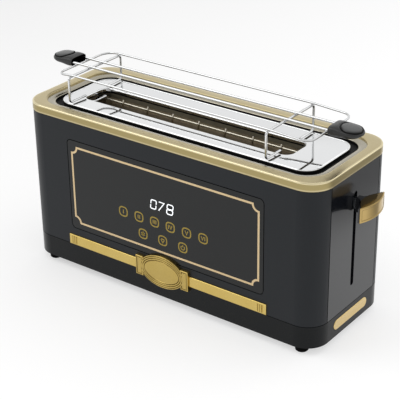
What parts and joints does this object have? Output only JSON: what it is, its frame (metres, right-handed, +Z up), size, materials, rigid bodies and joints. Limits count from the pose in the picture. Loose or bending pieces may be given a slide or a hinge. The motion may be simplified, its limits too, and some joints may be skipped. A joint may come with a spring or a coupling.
{
  "type": "long-slot toaster",
  "caption": "Long-slot toaster with a touch panel, a side lever that lowers the bread, self-centring guards, a pull-out crumb tray and a lift-off warming rack.",
  "frame": {"origin": "floor level under the middle of the body", "axes": "+X along the body to the lever end, -Y towards the control panel, +Z up"},
  "size_m": [0.4375, 0.1513, 0.2408],
  "materials": {
    "satin_black": "satin",
    "gloss_black": "gloss",
    "black_plastic": "matte",
    "rubber": "matte",
    "brass": "polished",
    "champagne_brass": "satin",
    "chrome": "polished",
    "steel": "brushed",
    "mica": "matte",
    "circuit_board": "satin",
    "coil": "satin"
  },
  "bodies": {
    "housing": {"front_shell": "satin_black", "rear_shell": "satin_black", "end_panel_right": "gloss_black", "end_panel_left": "gloss_black", "control_panel": "gloss_black", "base": "black_plastic", "rim_liner": "black_plastic", "display_module": "black_plastic", "power_relay": "black_plastic", "feet": "rubber", "cord_gland": "rubber", "panel_cable": "rubber", "front_band": "brass", "plaque": "brass", "top_rim": "champagne_brass", "deck_plate": "chrome", "end_staple": "chrome", "foot_screws": "steel", "housing_screws": "steel", "chamber_wall_right": "steel", "chamber_wall_left": "steel", "reflector_front": "steel", "reflector_rear": "steel", "heater_ribbon_front": "steel", "heater_ribbon_rear": "steel", "guide_rod": "steel", "board_spacers": "steel", "power_capacitor": "steel", "return_spring": "steel", "heater_board_front": "mica", "heater_board_rear": "mica", "control_board": "circuit_board", "power_board": "circuit_board", "electromagnet": "coil"},
    "carriage": {"carriage_bracket": "steel", "bread_support": "steel", "latch_plate": "steel", "lever_arm": "steel", "lever_knob": "brass"},
    "front_guard": {"guard_front": "chrome"},
    "rear_guard": {"guard_rear": "chrome"},
    "rack": {"rack_loop": "chrome", "rack_rail_front": "chrome", "rack_rail_rear": "chrome", "rack_leg_left": "chrome", "rack_leg_right": "chrome", "rack_grip_left": "black_plastic", "rack_grip_right": "black_plastic"},
    "tray": {"crumb_tray": "steel", "tray_pull": "brass"}
  },
  "joints": [
    {"name": "lever_slide", "type": "slide", "parent": "housing", "child": "carriage", "axis": [0, 0, -1], "range_m": [0, 0.08], "stiffness_N_per_m": 50, "springref_m": -0.1, "deforming": ["return_spring"]},
    {"name": "guard_front_slide", "type": "slide", "parent": "housing", "child": "front_guard", "axis": [0, 1, 0], "range_m": [0, 0.007]},
    {"name": "guard_rear_slide", "type": "slide", "parent": "housing", "child": "rear_guard", "axis": [0, -1, 0], "range_m": [0, 0.007]},
    {"name": "rack_lift", "type": "slide", "parent": "housing", "child": "rack", "axis": [0, 0, 1], "range_m": [0, 0.06]},
    {"name": "tray_slide", "type": "slide", "parent": "housing", "child": "tray", "axis": [1, 0, 0], "range_m": [0, 0.37]}
  ],
  "couplings": [
    {"joint": "guard_front_slide", "follows": "lever_slide", "ratio": 0.0875},
    {"joint": "guard_rear_slide", "follows": "lever_slide", "ratio": 0.0875}
  ]
}
